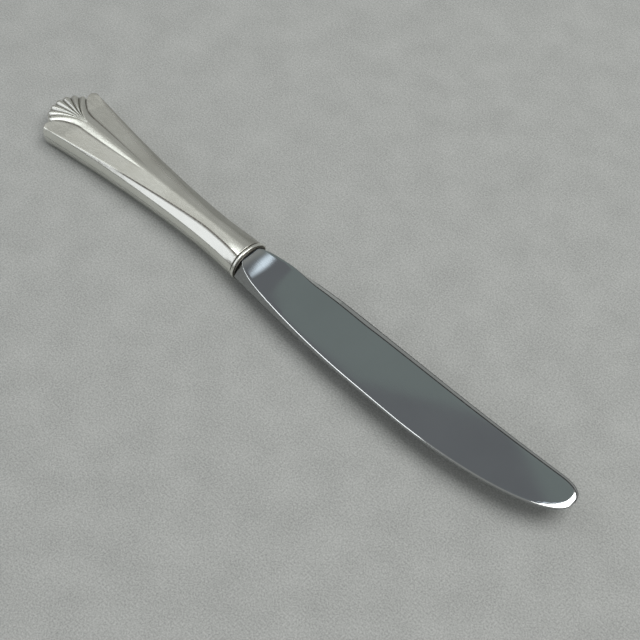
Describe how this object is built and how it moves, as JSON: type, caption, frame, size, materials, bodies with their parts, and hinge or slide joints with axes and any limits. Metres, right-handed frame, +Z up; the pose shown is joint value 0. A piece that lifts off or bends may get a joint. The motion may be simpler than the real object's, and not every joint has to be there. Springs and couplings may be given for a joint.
{
  "type": "fruit knife",
  "caption": "Hollow-handled fruit knife with a fluted fan at the butt, hollow-panelled flared handle, mouth bead and round-ended polished blade with a narrow ground edge.",
  "frame": {"origin": "centre of the knife's length and width, at the level of the table it lies on", "axes": "+X from the butt to the point, +Z up from the table, +Y to the cutting edge's side"},
  "size_m": [0.178, 0.0192, 0.0095],
  "materials": {
    "silver": "polished",
    "solder": "satin",
    "collar_silver": "polished",
    "blade_steel": "polished",
    "cement": "matte"
  },
  "bodies": {
    "root": {"handle_front": "silver", "handle_back": "silver", "seam_solder": "solder", "mouth_collar": "collar_silver", "blade": "blade_steel", "cement_core": "cement"}
  },
  "joints": []
}
